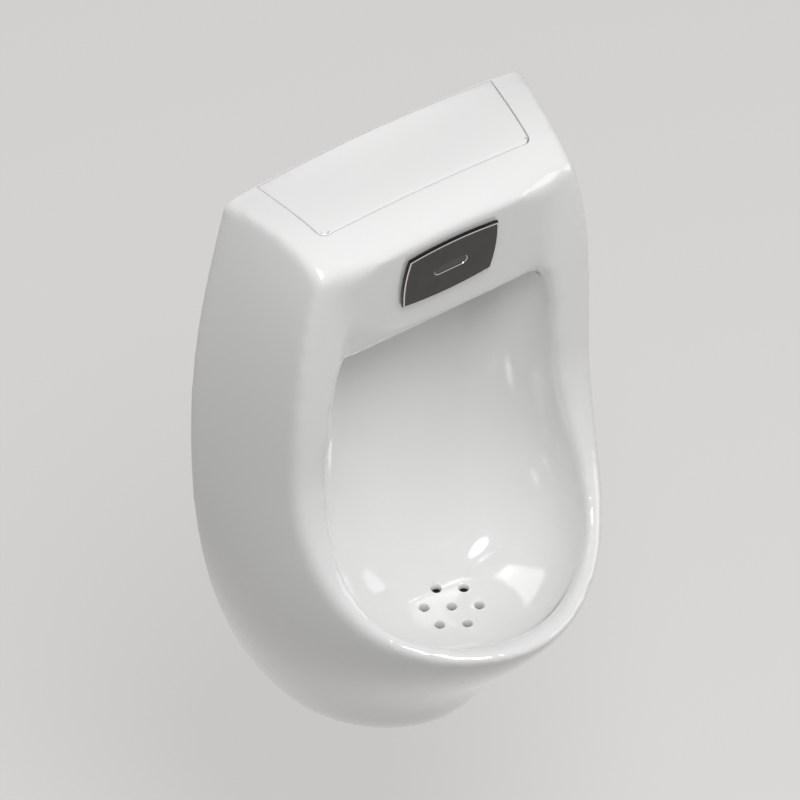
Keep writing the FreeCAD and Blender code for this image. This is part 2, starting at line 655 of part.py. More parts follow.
def gasket_shape():
    inset = size("gasket_inset")
    solid = barrel(size("plate_half") - inset, size("plate_corner_half") - inset,
                   size("plate_corner_rise") - inset, size("plate_rise") - inset,
                   -size("gasket_thickness"), 0.0)
    gap = size("stud_hole_gap")
    half = size("housing_half") + gap
    rise = size("housing_rise") + gap
    tools = [Part.makeBox(2 * half, 2 * OVERRUN, 2 * rise, FreeCAD.Vector(-half, -OVERRUN, -rise))]
    for side in (-1, 1):
        tools.append(Part.makeCylinder(size("stud_radius") + gap, 2 * OVERRUN,
                                       FreeCAD.Vector(side * size("stud_x"), -OVERRUN, 0),
                                       FreeCAD.Vector(0, 1, 0)))
    return solid.cut(tools)


def window_shape():
    front = -size("gasket_thickness") - size("plate_thickness") + size("window_sink")
    gap = size("window_gap")
    return obround(size("slot_half"), size("slot_radius") - gap, front, -size("gasket_thickness"))


def in_panel(thing):
    """Set a finished piece of the eye in its place on the leaning panel."""
    slope = "(panel_top_depth - panel_foot_depth) / (panel_foot_drop - panel_top_drop)"
    thing.Placement.Rotation = eye_placement().Rotation
    put(thing, ("0", f"panel_top_depth - (sensor_drop - panel_top_drop) * {slope}", "sensor_drop"))
    thing.setExpression("Placement.Rotation.Angle", bound(f"atan({slope})"))
    return thing


for label, shape in (("sensor_plate", plate_shape()), ("sensor_gasket", gasket_shape()),
                     ("sensor_window", window_shape())):
    in_panel(formed(label, shape))

FRONT_PLANE = "-gasket_thickness"
HOUSING_BACK = "housing_depth - gasket_thickness"
housing_walls = local_box("housing_walls", ("-housing_half", "housing_half"),
                          (FRONT_PLANE, HOUSING_BACK), ("-housing_rise", "housing_rise"))
housing_room = local_box("housing_room",
                         ("-housing_half + housing_wall", "housing_half - housing_wall"),
                         ("housing_wall - gasket_thickness", HOUSING_BACK + " + 1"),
                         ("-housing_rise + housing_wall", "housing_rise - housing_wall"))
housing_port = local_box("housing_port", ("-slot_half", "slot_half"),
                         (FRONT_PLANE + " - 1", "housing_wall"), ("-diode_radius - 1", "diode_radius + 1"))
in_panel(node(cut("sensor_housing", housing_walls, housing_room, housing_port), "sensor_housing"))
in_panel(node(group("housing_back", local_box(
    "housing_lid", ("-housing_half", "housing_half"),
    (HOUSING_BACK, HOUSING_BACK + " + housing_cap"), ("-housing_rise", "housing_rise"))),
    "housing_back"))
in_panel(node(group("sensor_board", local_box(
    "board_sheet", ("-housing_half + housing_wall", "housing_half - housing_wall"),
    ("board_back", "board_back + board_thickness"),
    ("-housing_rise + housing_wall", "housing_rise - housing_wall"))), "sensor_board"))
for label, place in (("ir_emitter", "-diode_apart"), ("ir_receiver", "diode_apart")):
    diode = local_rod(label + "_body", "diode_radius", "board_back - diode_front",
                      (place, "diode_front", "0"), "Y")
    in_panel(node(group(label, diode), label))

studs, clamps, wings = [], [], []
for tag, place in (("left", "-stud_x"), ("right", "stud_x")):
    studs.append(local_rod(f"stud_{tag}", "stud_radius", "stud_length",
                           (place, FRONT_PLANE, "0"), "Y"))
    sheet_metal = local_box(f"clamp_sheet_{tag}", (f"{place} - clamp_half", f"{place} + clamp_half"),
                            ("wall", "wall + clamp_thickness"), ("-clamp_rise", "clamp_rise"))
    clamp_hole = local_rod(f"clamp_hole_{tag}", "stud_radius + stud_hole_gap",
                           "clamp_thickness + 2", (place, "wall - 1", "0"), "Y")
    clamps.append(cut(f"clamp_{tag}", sheet_metal, clamp_hole))
    wing_outer = local_rod(f"wing_outer_{tag}", "wing_radius", "wing_height",
                           (place, "wall + clamp_thickness", "0"), "Y")
    wing_bore = local_rod(f"wing_bore_{tag}", "stud_radius", "wing_height + 2",
                          (place, "wall + clamp_thickness - 1", "0"), "Y")
    wings.append(cut(f"wing_{tag}", wing_outer, wing_bore))
in_panel(node(group("plate_studs", *studs), "plate_studs"))
in_panel(node(group("clamp_plates", *clamps), "clamp_plates"))
in_panel(node(group("clamp_nuts", *wings), "clamp_nuts"))


# ------------------------------------------------------------------- battery box
# Four penlight cells two by two in a moulded box on the chamber's floor, with
# sprung contacts at the ends and a hinged cover that is reached through the crown.

CHAMBER_FLOOR = "(brow_drop - wall)"
BOX_HALF = "(cell_length / 2 + contact_thickness + battery_wall)"
BOX_ACROSS = "(2 * cell_radius + 1.5 * cell_gap + battery_wall)"
BOX_HEIGHT = "(battery_wall + 4 * cell_radius + 3 * cell_gap)"
BOX_TOP = f"({CHAMBER_FLOOR} - {BOX_HEIGHT})"
HINGE_DEPTH = f"(battery_depth - {BOX_ACROSS} - hinge_radius - hinge_gap)"
HINGE_DROP = f"({BOX_TOP} - cover_gap - cover_thickness / 2)"


def battery_x(left, right):
    return (f"battery_x - {BOX_HALF} + ({left})", f"battery_x + {BOX_HALF} - ({right})")


box_walls = world_box("box_walls", battery_x("0", "0"),
                      (f"battery_depth - {BOX_ACROSS}", f"battery_depth + {BOX_ACROSS}"),
                      (BOX_TOP, CHAMBER_FLOOR))
box_room = world_box("box_room", battery_x("battery_wall", "battery_wall"),
                     (f"battery_depth - {BOX_ACROSS} + battery_wall",
                      f"battery_depth + {BOX_ACROSS} - battery_wall"),
                     (f"{BOX_TOP} - 1", f"{CHAMBER_FLOOR} - battery_wall"))
ears = []
for tag, x in (("left", (f"battery_x - {BOX_HALF}", f"battery_x - {BOX_HALF} + ear_width")),
               ("right", (f"battery_x + {BOX_HALF} - ear_width", f"battery_x + {BOX_HALF}"))):
    ears.append(world_box(f"ear_{tag}", x,
                          (f"{HINGE_DEPTH} - hinge_radius", f"battery_depth - {BOX_ACROSS}"),
                          (HINGE_DROP, f"{BOX_TOP} + hinge_drop")))
    ears.append(rod(f"ear_round_{tag}", "hinge_radius", "ear_width",
                    (x[0], HINGE_DEPTH, HINGE_DROP), "X"))
ear_bore = rod("ear_bore", "pin_radius", f"2 * {BOX_HALF} + 2",
               (f"battery_x - {BOX_HALF} - 1", HINGE_DEPTH, HINGE_DROP), "X")
node(cut("battery_box", fuse("box_and_ears", box_walls, *ears), box_room, ear_bore), "battery_box")

cover_sheet = world_box("cover_sheet", battery_x("0", "0"),
                        (f"battery_depth - {BOX_ACROSS} + cover_gap", f"battery_depth + {BOX_ACROSS}"),
                        (f"{BOX_TOP} - cover_gap - cover_thickness", f"{BOX_TOP} - cover_gap"))
cover_tongue = world_box("cover_tongue",
                         battery_x("ear_width + cover_gap", "ear_width + cover_gap"),
                         (HINGE_DEPTH, f"battery_depth - {BOX_ACROSS} + 2"),
                         (f"{BOX_TOP} - cover_gap - cover_thickness", f"{BOX_TOP} - cover_gap"))
cover_barrel = rod("cover_barrel", "hinge_radius", f"2 * ({BOX_HALF} - ear_width - cover_gap)",
                   (f"battery_x - {BOX_HALF} + ear_width + cover_gap", HINGE_DEPTH, HINGE_DROP), "X")
cover_bore = rod("cover_bore", "pin_radius + pin_play", f"2 * {BOX_HALF}",
                 (f"battery_x - {BOX_HALF}", HINGE_DEPTH, HINGE_DROP), "X")
node(cut("battery_cover", fuse("cover_form", cover_sheet, cover_tongue, cover_barrel), cover_bore),
     "battery_cover")
node(group("cover_pin", rod("pin_bar", "pin_radius", f"2 * {BOX_HALF}",
                            (f"battery_x - {BOX_HALF}", HINGE_DEPTH, HINGE_DROP), "X")), "cover_pin")

cells = []
for row, below in enumerate(("cell_radius + cell_gap", "3 * cell_radius + 2 * cell_gap")):
    for column, across in enumerate(("-", "+")):
        cells.append(rod(f"cell_{row}{column}", "cell_radius", "cell_length",
                         ("battery_x - cell_length / 2",
                          f"battery_depth {across} (cell_radius + cell_gap / 2)",
                          f"{CHAMBER_FLOOR} - battery_wall - ({below})"), "X"))
node(group("battery_cells", *cells), "battery_cells")
contacts = []
for tag, x in (("left", ("battery_x - cell_length / 2 - contact_thickness",
                         "battery_x - cell_length / 2")),
               ("right", ("battery_x + cell_length / 2",
                          "battery_x + cell_length / 2 + contact_thickness"))):
    contacts.append(world_box(f"contact_{tag}", x,
                              (f"battery_depth - {BOX_ACROSS} + battery_wall + contact_gap",
                               f"battery_depth + {BOX_ACROSS} - battery_wall - contact_gap"),
                              (f"{BOX_TOP} + contact_gap", f"{CHAMBER_FLOOR} - battery_wall")))
node(group("battery_contacts", *contacts), "battery_contacts")


# ------------------------------------------------------------ inlet and stop valve
# A union nut draws the inlet tail on to the supply pipe in the wall.  Behind it a
# quarter-turn ball stop shuts the water off for service.

UNION_LENGTH = "(neck_length + flange_thickness + washer_thickness + thread_length)"
FLANGE_DEPTH = "(union_gap + thread_length + washer_thickness)"
UNDERCUT_END = "neck_length + flange_thickness + washer_thickness"
node(turned("union_nut", [("tail_radius + tail_play", "0"), ("union_radius", "0"),
                          ("union_radius", UNION_LENGTH), ("thread_radius", UNION_LENGTH),
                          ("thread_radius", UNDERCUT_END), ("flange_radius + tail_play", UNDERCUT_END),
                          ("flange_radius + tail_play", "neck_length"),
                          ("tail_radius + tail_play", "neck_length")],
            ("inlet_x", f"union_gap + {UNION_LENGTH}", "inlet_drop"), "Y"), "union_nut")
TAIL_LENGTH = f"(stop_start - {FLANGE_DEPTH})"
node(turned("inlet_tail", [("way_radius", "0"), ("tail_radius", "0"),
                           ("tail_radius", f"{TAIL_LENGTH} - flange_thickness"),
                           ("flange_radius", f"{TAIL_LENGTH} - flange_thickness"),
                           ("flange_radius", TAIL_LENGTH), ("way_radius", TAIL_LENGTH)],
            ("inlet_x", "stop_start", "inlet_drop"), "Y"), "inlet_tail")
node(ring("inlet_washer", "way_radius", "flange_radius", "washer_thickness",
          ("inlet_x", FLANGE_DEPTH, "inlet_drop"), "Y"), "inlet_washer")
FILTER_OUTER = "way_radius - tail_play"
node(turned("inlet_filter", [("0", "0"), (FILTER_OUTER, "0"), (FILTER_OUTER, "filter_length"),
                             (FILTER_OUTER + " - filter_wall", "filter_length"),
                             (FILTER_OUTER + " - filter_wall", "filter_wall"), ("0", "filter_wall")],
            ("inlet_x", f"{FLANGE_DEPTH} + filter_length - washer_thickness", "inlet_drop"), "Y"),
     "inlet_filter")

STOP_MIDDLE = "(stop_start + stop_length / 2)"


def at_ball(rise="0"):
    return ("inlet_x", STOP_MIDDLE, f"inlet_drop - ({rise})")


def ball(name, radius):
    sphere = new("Part::Sphere", name)
    bind(sphere, Radius=radius)
    return put(sphere, at_ball())


stop_barrel = rod("stop_barrel", "stop_radius", "stop_length",
                  ("inlet_x", "stop_start + stop_length", "inlet_drop"), "Y")
stop_neck = rod("stop_neck", "neck_radius", "neck_height", at_ball())
stop_way = rod("stop_way", "way_radius", "stop_length + 2",
               ("inlet_x", "stop_start + stop_length + 1", "inlet_drop"), "Y")
stop_bore = rod("stop_bore", "spindle_radius + spindle_play", "neck_height + 2", at_ball())
node(cut("stop_valve", fuse("stop_casting", stop_barrel, stop_neck), stop_way,
         ball("stop_cavity", "ball_radius + ball_play"), stop_bore), "stop_valve")
ball_way = rod("ball_way", "way_radius", "2 * ball_radius + 2",
               ("inlet_x", f"{STOP_MIDDLE} + ball_radius + 1", "inlet_drop"), "Y")
ball_top = world_box("ball_top", ("inlet_x - ball_radius", "inlet_x + ball_radius"),
                     (f"{STOP_MIDDLE} - ball_radius", f"{STOP_MIDDLE} + ball_radius"),
                     ("inlet_drop - ball_radius - 1", "inlet_drop - ball_flat"))
node(cut("stop_ball", ball("ball_blank", "ball_radius"), ball_way, ball_top), "stop_ball")
SPINDLE_LENGTH = "(lever_rise + lever_thickness + lever_nut_height - ball_flat)"
node(group("stop_spindle", rod("spindle_bar", "spindle_radius", SPINDLE_LENGTH,
                               at_ball("ball_flat"))), "stop_spindle")
node(ring("spindle_seal", "spindle_radius + spindle_play", "neck_radius", "seal_height",
          at_ball("neck_height")), "spindle_seal")
lever_bar = world_box("lever_bar", ("inlet_x - lever_width / 2", "inlet_x + lever_width / 2"),
                      (f"{STOP_MIDDLE} + lever_width / 2 - lever_length",
                       f"{STOP_MIDDLE} + lever_width / 2"),
                      ("inlet_drop - lever_rise - lever_thickness", "inlet_drop - lever_rise"))
lever_bore = rod("lever_bore", "spindle_radius", "lever_thickness + 2", at_ball("lever_rise - 1"))
node(cut("stop_lever", lever_bar, lever_bore), "stop_lever")
node(ring("lever_nut", "spindle_radius", "lever_nut_radius", "lever_nut_height",
          at_ball("lever_rise + lever_thickness")), "lever_nut")


# ----------------------------------------------------------------- solenoid valve
# The coil lifts a plunger against its spring, which lets the piston rise off its
# seat and the flush run.  Bonnet and guide tube close the valve's chamber.

VALVE_DEPTH = "(stop_start + stop_length + valve_half)"


def at_valve(drop):
    return ("inlet_x", VALVE_DEPTH, drop)


def valve_box(name, half, drops):
    return world_box(name, (f"inlet_x - {half}", f"inlet_x + {half}"),
                     (f"{VALVE_DEPTH} - {half}", f"{VALVE_DEPTH} + {half}"), drops)


CORNERS = [(x, y) for x in ("-", "+") for y in ("-", "+")]


def at_screw(x, y, drop):
    return (f"inlet_x {x} screw_apart", f"{VALVE_DEPTH} {y} screw_apart", drop)


SEAT_DROP = "(valve_top_drop + chamber_height - seat_height)"
valve_block = valve_box("valve_block", "valve_half", ("valve_top_drop", "valve_top_drop + valve_height"))
SEAT_RISE = f"(port_drop - {SEAT_DROP})"
CHAMBER_RISE = "(port_drop - valve_top_drop - chamber_height)"
VALVE_RISE = "(port_drop - valve_top_drop + 1)"
valve_hollow = turned("valve_hollow", [("0", "0"), ("throat_radius", "0"), ("throat_radius", SEAT_RISE),
                                       ("seat_radius", SEAT_RISE), ("seat_radius", CHAMBER_RISE),
                                       ("chamber_radius", CHAMBER_RISE),
                                       ("chamber_radius", VALVE_RISE), ("0", VALVE_RISE)],
                      at_valve("port_drop"))
valve_inlet = rod("valve_inlet", "way_radius", "valve_half - seat_radius",
                  ("inlet_x", f"{VALVE_DEPTH} - seat_radius - 1", "inlet_drop"), "Y")
valve_port = rod("valve_port", "port_radius", "valve_half + 1 + port_radius",
                 ("inlet_x - valve_half - 1", VALVE_DEPTH, "port_drop"), "X")
valve_threads = [rod(f"valve_thread_{i}", "screw_radius", "screw_length - bonnet_height + 1",
                     at_screw(x, y, "valve_top_drop + screw_length - bonnet_height"))
                 for i, (x, y) in enumerate(CORNERS)]
node(cut("valve_body", valve_block, valve_hollow, valve_inlet, valve_port, *valve_threads),
     "valve_body")

bonnet_block = valve_box("bonnet_block", "valve_half", ("valve_top_drop - bonnet_height", "valve_top_drop"))
bonnet_bore = rod("bonnet_bore", "guide_radius", "bonnet_height + 2", at_valve("valve_top_drop + 1"))
bonnet_recess = rod("bonnet_recess", "guide_flange", "flange_thickness + 1",
                    at_valve("valve_top_drop + 1"))
bonnet_holes = [rod(f"bonnet_hole_{i}", "screw_radius", "bonnet_height + 2",
                    at_screw(x, y, "valve_top_drop + 1")) for i, (x, y) in enumerate(CORNERS)]
node(cut("valve_bonnet", bonnet_block, bonnet_bore, bonnet_recess, *bonnet_holes), "valve_bonnet")
screws = []
for i, (x, y) in enumerate(CORNERS):
    shank = rod(f"screw_shank_{i}", "screw_radius", "screw_length",
                at_screw(x, y, "valve_top_drop - bonnet_height + screw_length"))
    head = rod(f"screw_head_{i}", "screw_head", "screw_head_height",
               at_screw(x, y, "valve_top_drop - bonnet_height"))
    screws.append(fuse(f"screw_{i}", shank, head))
node(group("bonnet_screws", *screws), "bonnet_screws")
node(turned("guide_tube", [("guide_bore", "0"), ("guide_flange", "0"),
                           ("guide_flange", "flange_thickness"), ("guide_radius", "flange_thickness"),
                           ("guide_radius", "guide_height"), ("0", "guide_height"),
                           ("0", "guide_height - guide_cap"), ("guide_bore", "guide_height - guide_cap")],
            at_valve("valve_top_drop")), "guide_tube")
node(ring("solenoid_coil", "guide_radius + coil_play", "coil_radius", "coil_height",
          at_valve("valve_top_drop - bonnet_height")), "solenoid_coil")
node(ring("coil_nut", "guide_radius", "coil_nut_radius", "coil_nut_height",
          at_valve("valve_top_drop - bonnet_height - coil_height")), "coil_nut")
PISTON_FOOT = f"({SEAT_DROP} - face_gap - face_thickness)"
node(group("valve_piston", rod("piston_disc", "chamber_radius - piston_play", "piston_height",
                               at_valve(PISTON_FOOT))), "valve_piston")
node(group("piston_face", rod("face_disc", "seat_radius", "face_thickness",
                              at_valve(f"{SEAT_DROP} - face_gap"))), "piston_face")
PLUNGER_FOOT = f"({PISTON_FOOT} - piston_height - plunger_gap)"
node(group("plunger", rod("plunger_bar", "guide_bore - plunger_play", "plunger_length",
                          at_valve(PLUNGER_FOOT))), "plunger")
SPRING_ROOM = f"(guide_height - guide_cap - (valve_top_drop - {PLUNGER_FOOT}) - plunger_length)"
node(ring("plunger_spring", "spring_radius - spring_wire", "spring_radius",
          f"{SPRING_ROOM} - 2 * spring_gap",
          at_valve(f"{PLUNGER_FOOT} - plunger_length - spring_gap")), "plunger_spring")
STAND_TOP = "(valve_top_drop + valve_height)"
stand_depths = (f"{VALVE_DEPTH} - stand_across / 2", f"{VALVE_DEPTH} + stand_across / 2")
stand_top = world_box("stand_top", ("inlet_x - valve_half", "inlet_x + valve_half"), stand_depths,
                      (STAND_TOP, f"{STAND_TOP} + stand_thickness"))
stand_legs = [world_box(f"stand_leg_{tag}", x, stand_depths, (STAND_TOP, CHAMBER_FLOOR))
              for tag, x in (("left", ("inlet_x - valve_half", "inlet_x - valve_half + stand_thickness")),
                             ("right", ("inlet_x + valve_half - stand_thickness", "inlet_x + valve_half")))]
node(fuse("valve_stand", stand_top, *stand_legs), "valve_stand")


# ------------------------------------------------------- flush tube and spreader
# A bent tube carries the water to the middle, where the spreader goes through the
# bowl's ceiling and throws it against the back of the bowl.

def bent_run(points, bend):
    """A path of straight runs joined by tangent arcs."""
    edges = []
    start = points[0]
    for before, corner, after in zip(points, points[1:], points[2:]):
        into = (corner - before).normalize()
        out = (after - corner).normalize()
        half_turn = into.getAngle(out) / 2
        reach = bend * math.tan(half_turn)
        arc_start = corner - into * reach
        arc_end = corner + out * reach
        sagitta = bend / math.cos(half_turn) - bend
        middle = corner + (out - into).normalize() * sagitta
        edges.append(Part.makeLine(start, arc_start))
        edges.append(Part.Arc(arc_start, middle, arc_end).toShape())
        start = arc_end
    edges.append(Part.makeLine(start, points[-1]))
    return Part.Wire(edges)


def round_bar(points, radius, bend):
    """A round bar along a bent run."""
    path = bent_run(points, bend)
    section = Part.Wire(Part.makeCircle(radius, points[0], points[1] - points[0]))
    return path.makePipeShell([section], True, False)


def flush_tube_shape():
    depth = size("stop_start") + size("stop_length") + size("valve_half")
    port = height(size("port_drop"))
    run = [point(size("inlet_x") - size("valve_half"), depth, port), point(0, depth, port),
           point(0, depth, height(size("tube_end_drop")))]
    outer = round_bar(run, size("tube_bore") + size("tube_wall"), size("tube_bend"))
    return outer.cut(round_bar(run, size("tube_bore"), size("tube_bend")))


formed("flush_tube", flush_tube_shape())
TUBE_RADIUS = "tube_bore + tube_wall"
node(ring("port_nut", TUBE_RADIUS, "tube_nut_radius", "tube_nut_length",
          ("inlet_x - valve_half - tube_nut_length", VALVE_DEPTH, "port_drop"), "X"), "port_nut")


def at_spreader(drop):
    return ("0", VALVE_DEPTH, drop)


node(turned("spreader_union",
            [("shank_radius", "0"), ("shank_radius + nut_cover", "0"),
             ("shank_radius + nut_cover", "2 * nut_cover + 2 * tube_wall"),
             (TUBE_RADIUS, "2 * nut_cover + 2 * tube_wall"),
             (TUBE_RADIUS, "2 * nut_cover"), ("shank_radius", "2 * nut_cover")],
            at_spreader("tube_end_drop + nut_cover")), "spreader_union")
FLANGE_DROP = "(brow_drop + spreader_seal)"
SHANK_LENGTH = f"({FLANGE_DROP} - tube_end_drop)"
spreader_form = turned("spreader_form",
                       [("0", "0"), ("spreader_radius - 1", "0"), ("spreader_radius", "1"),
                        ("spreader_radius", "spreader_height"), ("shank_radius", "spreader_height"),
                        ("shank_radius", f"spreader_height + {SHANK_LENGTH}"),
                        ("tube_bore", f"spreader_height + {SHANK_LENGTH}"),
                        ("tube_bore", "spray_height"), ("0", "spray_height")],
                       at_spreader(f"{FLANGE_DROP} + spreader_height"))
spray_slot = world_box("spray_slot", ("-spray_half", "spray_half"),
                       (f"{VALVE_DEPTH} - spreader_radius - 1", VALVE_DEPTH),
                       (f"{FLANGE_DROP} + spreader_height - 2 * spray_height",
                        f"{FLANGE_DROP} + spreader_height - spray_height"))
node(cut("spreader", spreader_form, spray_slot), "spreader")
node(ring("spreader_seal", "shank_radius", "lock_nut_radius", "spreader_seal",
          at_spreader(FLANGE_DROP)), "spreader_seal")
node(ring("lock_washer", "shank_radius", "lock_nut_radius", "washer_thickness",
          at_spreader(CHAMBER_FLOOR)), "lock_washer")
node(ring("lock_nut", "shank_radius", "lock_nut_radius - 1", "lock_nut_height",
          at_spreader(f"{CHAMBER_FLOOR} - washer_thickness")), "lock_nut")


# --------------------------------------------------------------------------- leads
# Two short leads inside the chamber: cells to eye, and eye to coil.

def housing_exit(x, rise):
    """Where a lead leaves the housing's back, a little clear of its face."""
    back = size("housing_depth") - size("gasket_thickness") + size("housing_cap")
    exit_point = eye_placement().multVec(FreeCAD.Vector(x, back, rise))
    return exit_point + FreeCAD.Vector(0, size("lead_gap"), 0)


def battery_lead_shape():
    x = size("battery_lead_x")
    end = housing_exit(x, size("battery_lead_rise"))
    half = size("cell_length") / 2 + size("contact_thickness") + size("battery_wall")
    low = height(size("battery_lead_drop"))
    y = -size("battery_depth")
    run = [FreeCAD.Vector(size("battery_x") + half, y, low), FreeCAD.Vector(x, y, low),
           FreeCAD.Vector(x, y, end.z), end]
    return round_bar(run, size("lead_radius"), size("lead_bend"))


def valve_lead_shape():
    start = housing_exit(size("valve_lead_x"), size("valve_lead_rise"))
    corner = start + FreeCAD.Vector(0, size("lead_run"), 0)
    depth = size("stop_start") + size("stop_length") + size("valve_half")
    offset = depth + corner.y
    reach = math.sqrt(size("coil_radius") ** 2 - offset ** 2)
    end = FreeCAD.Vector(size("inlet_x") - reach - size("lead_gap"), corner.y, corner.z)
    return round_bar([start, corner, end], size("lead_radius"), size("lead_bend"))


formed("battery_lead", battery_lead_shape())
formed("valve_lead", valve_lead_shape())


# --------------------------------------------------------- waste seal and hangers
# A rubber sleeve in the outlet takes the waste pipe.  Two folded steel hooks are
# screwed to the wall, and the ceramic's lugs drop over them.

node(turned("outlet_seal", [("pipe_radius", "0"), ("socket_bore - seal_play", "0"),
                            ("socket_bore - seal_play", "seal_length"),
                            ("pipe_radius", "seal_length")],
            ("0", "socket_length", "outlet_drop"), "Y"), "outlet_seal")

PLATE_TOP = level("hook_drop")
HOOK_FOOT = level("hook_drop + hanger_plate")
HOOK_TOP = level("hook_drop - hook_height")
PLATE_END = level("hanger_drop + hanger_pitch / 2 + plate_foot")
hooks = []
for tag, x in (("left", "-hanger_x"), ("right", "hanger_x")):
    folded = plate(f"hook_{tag}",
                   [("0", PLATE_END), ("0", PLATE_TOP), ("-hook_reach + hanger_plate", PLATE_TOP),
                    ("-hook_reach + hanger_plate", HOOK_TOP), ("-hook_reach", HOOK_TOP),
                    ("-hook_reach", HOOK_FOOT), ("-hanger_plate", HOOK_FOOT),
                    ("-hanger_plate", PLATE_END)], "2 * hanger_half", x)
    drills = [rod(f"drill_{tag}_{i}", "hanger_hole", "hanger_plate + 2",
                  (x, "hanger_plate + 1", f"hanger_drop {sign} hanger_pitch / 2"), "Y")
              for i, sign in enumerate("+-")]
    hooks.append(cut(f"hanger_{tag}", folded, *drills))
node(group("hanger_brackets", *hooks), "hanger_brackets")


# ------------------------------------------------------------------ check and write
doc.recompute()
for thing in doc.Objects:
    if {"Invalid", "Error"} & set(thing.State):
        raise RuntimeError(f"{thing.Name} did not build: {thing.State}")
os.makedirs("parts", exist_ok=True)
for thing in NODES:
    if thing.Shape.isNull() or not thing.Shape.isValid() or not thing.Shape.Solids:
        raise RuntimeError(f"{thing.Label} has no valid solid")
    thing.Shape.exportStep(f"parts/{thing.Label}.step")
print(len(NODES), "sub-parts")
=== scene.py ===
import json
import math

import bmesh
import bpy
from mathutils import Matrix, Vector
from mathutils.bvhtree import BVHTree


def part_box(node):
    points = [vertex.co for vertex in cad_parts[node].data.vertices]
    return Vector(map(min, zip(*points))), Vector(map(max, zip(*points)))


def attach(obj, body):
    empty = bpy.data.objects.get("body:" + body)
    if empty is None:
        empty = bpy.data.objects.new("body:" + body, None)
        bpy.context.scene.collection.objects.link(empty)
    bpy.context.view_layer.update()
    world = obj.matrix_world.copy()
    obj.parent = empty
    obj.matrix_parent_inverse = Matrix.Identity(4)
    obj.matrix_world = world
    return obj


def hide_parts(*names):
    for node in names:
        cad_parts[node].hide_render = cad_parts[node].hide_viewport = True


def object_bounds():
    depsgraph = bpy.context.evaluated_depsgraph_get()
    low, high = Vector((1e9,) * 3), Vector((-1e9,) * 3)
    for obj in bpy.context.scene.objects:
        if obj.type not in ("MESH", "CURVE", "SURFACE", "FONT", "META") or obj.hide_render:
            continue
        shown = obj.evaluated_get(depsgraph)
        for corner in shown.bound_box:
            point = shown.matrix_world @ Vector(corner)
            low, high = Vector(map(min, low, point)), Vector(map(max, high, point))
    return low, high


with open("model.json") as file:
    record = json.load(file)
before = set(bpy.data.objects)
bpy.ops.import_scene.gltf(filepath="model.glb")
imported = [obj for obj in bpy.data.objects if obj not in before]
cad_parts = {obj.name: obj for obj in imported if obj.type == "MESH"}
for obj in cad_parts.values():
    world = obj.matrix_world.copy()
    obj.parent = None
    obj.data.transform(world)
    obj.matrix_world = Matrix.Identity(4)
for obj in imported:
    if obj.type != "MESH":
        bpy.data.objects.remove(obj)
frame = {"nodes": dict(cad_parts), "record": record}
cad_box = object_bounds()
nodes = frame["nodes"]

# ------------------------------------------------------------------ glazed ceramic
# The body is hollow fireclay under a thick white glaze. The glaze rounds every edge,
# draws the corners round the panel softer, and leaves the back edge, which stands
# against the wall, as bare clay.

GLAZE_GRAIN = 0.0038        # how finely the casting's surface is resolved
GLAZE_PASSES = 16           # how far the glaze draws its edges round
GLAZE_WHITE = (0.80, 0.80, 0.79, 1)
GLAZE_SHADE = (0.77, 0.775, 0.77, 1)
GLAZE_ROUGHNESS = 0.10
GLAZE_COAT = 0.04           # the roughness of the coat over it
GLAZE_EDGE = 0.0008         # the round on an edge that was cut after the smoothing
CUT_ANGLE = math.radians(50)    # ... and how sharp such an edge is
CREASE_ANGLE = math.radians(60)
BARE_CLAY = (0.52, 0.44, 0.34, 1)
# painted shadow: near-black colour for the lower walls of the drain holes, where shade falls
DRAIN_PAINTED_SHADOW = (0.05, 0.045, 0.04, 1)
BACK_SHADOW_START = 0.0045         # how far under the floor the painted shadow starts in the two back holes
FRONT_SHADOW_START = 0.0088        # ... and in the other five
DARK_HOLE_SIDE = 0.6             # the holes whose painted shadow starts higher lie to the back and this much to the right
DARK_HOLE_FROM = 0.9             # ... and they are the ones that lie this far that way
SOFT_PASSES = 40            # how far the glaze draws the frame's inner corners round
NICHE_HALF = 0.102          # half the width between the frame's sides
NICHE_REACH = 0.020         # how far from that line the softer glaze reaches
NICHE_DEPTH = 0.088         # ... and how far out from the wall it begins
BROW_DROP = 0.134           # the brow over the bowl, below the crown
RIM_DEPTH = 0.098           # the frame and the rim lie further out than this
RIM_FOOT = 0.430            # ... and above this drop
RIM_SHARE = 0.5             # how much of the softening the frame and the rim get
BACK_OVERLAP = 0.0002       # how far the casting and its mirror image share the back edge
LID_GAP = 0.0011            # the line round the lid
LID_PLUG = 0.0018           # what fills that line while the crown is smoothed
PLUG_SINK = 0.001           # ... and how far that filling reaches into the seat
SEAT_PLAY = 0.002           # the room under the lid for its pads
LID_LEDGE = 0.009           # how wide the seat's ledge is
SEAT_TOP = 0.03             # the form that cuts the seat goes on this far over the lid
WELL_TOP = 0.04             # ... and the one that cuts the well inside the ledge
WELL_DEPTH = 0.03
CROWN_HEIGHT = 0.168        # the crown's datum over the hanger screws
DRAIN_DEPTH = 0.128         # the middle of the drain, out from the wall
DRAIN_HEIGHT = -0.298       # the bowl's floor at the drain
DRAIN_CIRCLE = 0.024
DRAIN_RADIUS = 0.004
DRAIN_FLARE = 0.0047        # a drain hole's radius where the glaze rounds its edge
FLARE_DEPTH = 0.0014        # ... and how far down that round goes
FLARE_TOP = 0.0001          # ... and how far under the bowl's floor it starts
HOLE_DEPTH = 0.016          # how far down a drain hole is cut
HOLE_RISE = 0.006           # the cutting form goes on this far over the floor
HOLE_SPREAD = 0.003         # ... and spreads by this much
PAINTED_SHADOW_SHARE = 1.02          # the painted shadow covers the wall within this share of a hole's radius
PAINTED_SHADOW_DEPTH = 0.02
PLUG_SHARE = 1.05           # a plug's radius as a share of its drain hole's
PLUG_DEPTH = 0.009
BESIDE_SHARE = 1.2          # the floor is measured this far beside a plug's edge
LOOK_HEIGHT = 0.02          # ... and from this high over it


